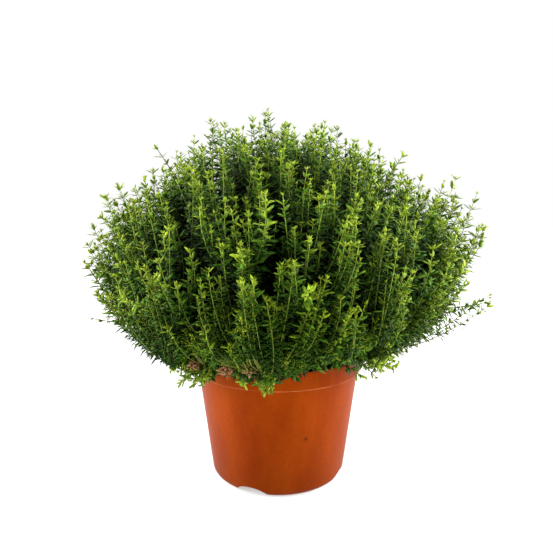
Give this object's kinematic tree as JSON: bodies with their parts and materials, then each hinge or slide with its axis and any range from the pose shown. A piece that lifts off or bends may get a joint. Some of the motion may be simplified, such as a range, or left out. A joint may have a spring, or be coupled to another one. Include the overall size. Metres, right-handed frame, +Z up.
{
  "type": "potted thyme",
  "caption": "Dense dome of narrow-leaved thyme stems growing from compost in a tapered round plastic nursery pot with drainage notches.",
  "frame": {"origin": "centre of the pot's underside, on the plane that it stands on", "axes": "+Z up along the pot's axis, -Y towards the viewer of the picture, +X to the viewer's right"},
  "size_m": [0.3324, 0.3135, 0.2828],
  "materials": {
    "terracotta_plastic": "satin",
    "compost": "matte",
    "thyme_leaf": "satin",
    "withered_leaf": "matte"
  },
  "bodies": {
    "root": {"pot": "terracotta_plastic", "soil": "compost", "withered_sprig_1": "withered_leaf", "withered_sprig_2": "withered_leaf", "withered_sprig_3": "withered_leaf", "stem_01": "thyme_leaf", "stem_02": "thyme_leaf", "stem_03": "thyme_leaf", "stem_04": "thyme_leaf", "stem_05": "thyme_leaf", "stem_06": "thyme_leaf", "stem_07": "thyme_leaf", "stem_08": "thyme_leaf", "stem_09": "thyme_leaf", "stem_10": "thyme_leaf", "stem_11": "thyme_leaf", "stem_12": "thyme_leaf", "stem_13": "thyme_leaf", "stem_14": "thyme_leaf", "stem_15": "thyme_leaf", "stem_16": "thyme_leaf", "stem_17": "thyme_leaf", "stem_18": "thyme_leaf", "stem_19": "thyme_leaf", "stem_20": "thyme_leaf", "stem_21": "thyme_leaf", "stem_22": "thyme_leaf", "stem_23": "thyme_leaf", "stem_24": "thyme_leaf", "stem_25": "thyme_leaf", "stem_26": "thyme_leaf", "stem_27": "thyme_leaf", "stem_28": "thyme_leaf", "stem_29": "thyme_leaf", "stem_30": "thyme_leaf", "stem_31": "thyme_leaf", "stem_32": "thyme_leaf", "stem_33": "thyme_leaf", "stem_34": "thyme_leaf", "stem_35": "thyme_leaf"}
  },
  "joints": []
}
